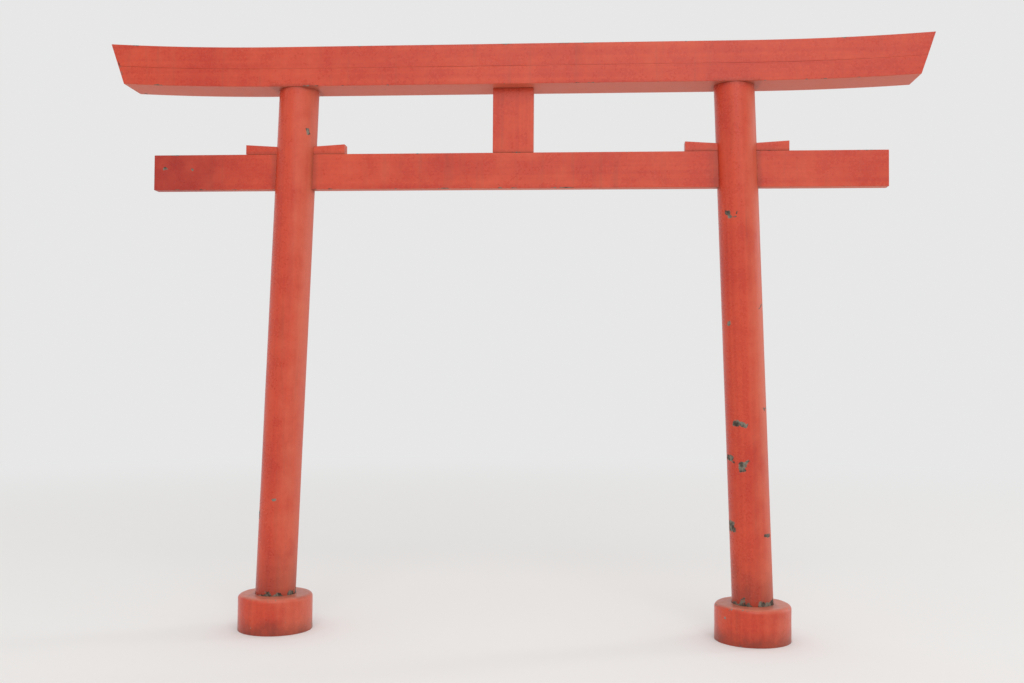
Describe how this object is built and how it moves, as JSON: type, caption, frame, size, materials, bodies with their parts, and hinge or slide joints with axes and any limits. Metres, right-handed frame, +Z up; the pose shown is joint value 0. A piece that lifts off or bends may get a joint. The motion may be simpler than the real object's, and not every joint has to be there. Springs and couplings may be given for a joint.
{
  "type": "torii gate",
  "caption": "Timber torii gate: leaning round pillars on round bases, a wedged tie beam through them, a centre strut and two lintels with upswept ends.",
  "frame": {"origin": "on the ground under the middle of the gateway, midway between the two bases: the bottom centre of the gate's bounding box", "axes": "+X along the gate from its left pillar to its right pillar as seen from the front, +Y through the gateway from front to back, +Z up"},
  "size_m": [5.53, 0.5, 4.0058],
  "materials": {
    "painted_timber": "weathered vermilion paint, chipped to grey wood",
    "painted_base": "weathered vermilion paint"
  },
  "bodies": {
    "root": {"left_base": "painted_base", "right_base": "painted_base", "left_pillar": "painted_timber", "right_pillar": "painted_timber", "tie_beam": "painted_timber", "left_outer_wedge": "painted_timber", "left_inner_wedge": "painted_timber", "right_inner_wedge": "painted_timber", "right_outer_wedge": "painted_timber", "centre_strut": "painted_timber", "lower_lintel": "painted_timber", "upper_lintel": "painted_timber"}
  },
  "joints": []
}
